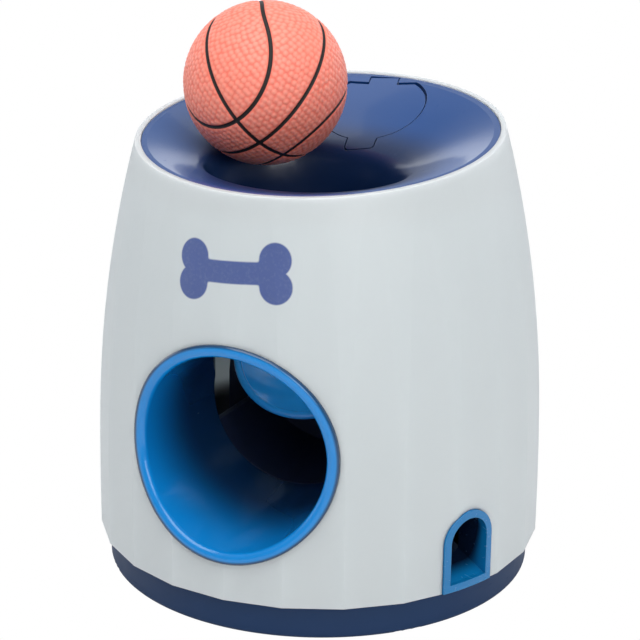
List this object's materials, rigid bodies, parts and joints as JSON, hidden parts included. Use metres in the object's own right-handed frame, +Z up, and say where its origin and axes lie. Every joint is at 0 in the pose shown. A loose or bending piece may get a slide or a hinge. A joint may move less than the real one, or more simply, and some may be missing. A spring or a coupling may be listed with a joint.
{
  "type": "dog puzzle toy",
  "caption": "Free-standing puzzle tower for dogs: a pebbled rubber ball dropped in the slanted funnel rolls out of a round front tunnel and releases treats from an arched side chute",
  "frame": {"origin": "on the floor under the middle of the body", "axes": "+Z up, the tunnel opens towards -Y, the treat chute is at the front right"},
  "size_m": [0.1701, 0.1719, 0.2163],
  "materials": {
    "shell_plastic": "satin moulded plastic, very fine grain",
    "funnel_plastic": "semi-matt dark blue moulded plastic",
    "base_plastic": "semi-matt dark blue moulded plastic",
    "tunnel_plastic": "glossy bright blue moulded plastic",
    "chute_plastic": "glossy mid blue moulded plastic",
    "dish_plastic": "glossy bright blue moulded plastic",
    "frame_plastic": "matt dark navy moulded plastic, hidden inside",
    "hopper_plastic": "matt dark blue moulded plastic, hidden inside",
    "bush_plastic": "off-white low-friction plastic",
    "ball_rubber": "coral natural rubber with a pebbled grip",
    "black_rubber": "black rubber",
    "steel": "bright steel"
  },
  "bodies": {
    "root": {"outer_shell": "shell_plastic", "funnel_bowl": "funnel_plastic", "ball_tunnel": "tunnel_plastic", "treat_chute": "chute_plastic", "treat_slide": "chute_plastic", "treat_hopper": "hopper_plastic", "rocker_frame": "frame_plastic", "shaft_bushes": "bush_plastic", "stop_pad": "black_rubber", "base_tray": "base_plastic", "rubber_feet": "black_rubber", "base_screws": "steel", "frame_screws": "steel", "tunnel_screws": "steel", "slide_screws": "steel", "funnel_screws": "steel", "hopper_screws": "steel"},
    "lid": {"hopper_lid": "funnel_plastic", "lid_pin": "steel"},
    "rocker": {"ball_dish": "dish_plastic", "rocker_shaft": "steel", "dosing_gate": "dish_plastic", "counterweight": "steel", "shaft_clips": "steel"},
    "ball": {"play_ball": "ball_rubber"}
  },
  "joints": [
    {"name": "rocker_tip", "type": "hinge", "parent": "root", "child": "rocker", "pos_m": [0, 0.026, 0.092], "axis": [1, 0, 0], "range_deg": [0, 25]},
    {"name": "lid_hinge", "type": "hinge", "parent": "root", "child": "lid", "pos_m": [-0.00018, 0.06075, 0.17389], "axis": [-0.9895, -0.1319, -0.0587], "range_deg": [0, 75]},
    {"name": "ball_lift", "type": "slide", "parent": "root", "child": "ball", "axis": [0, 0, 1], "range_m": [0, 0.12]}
  ]
}
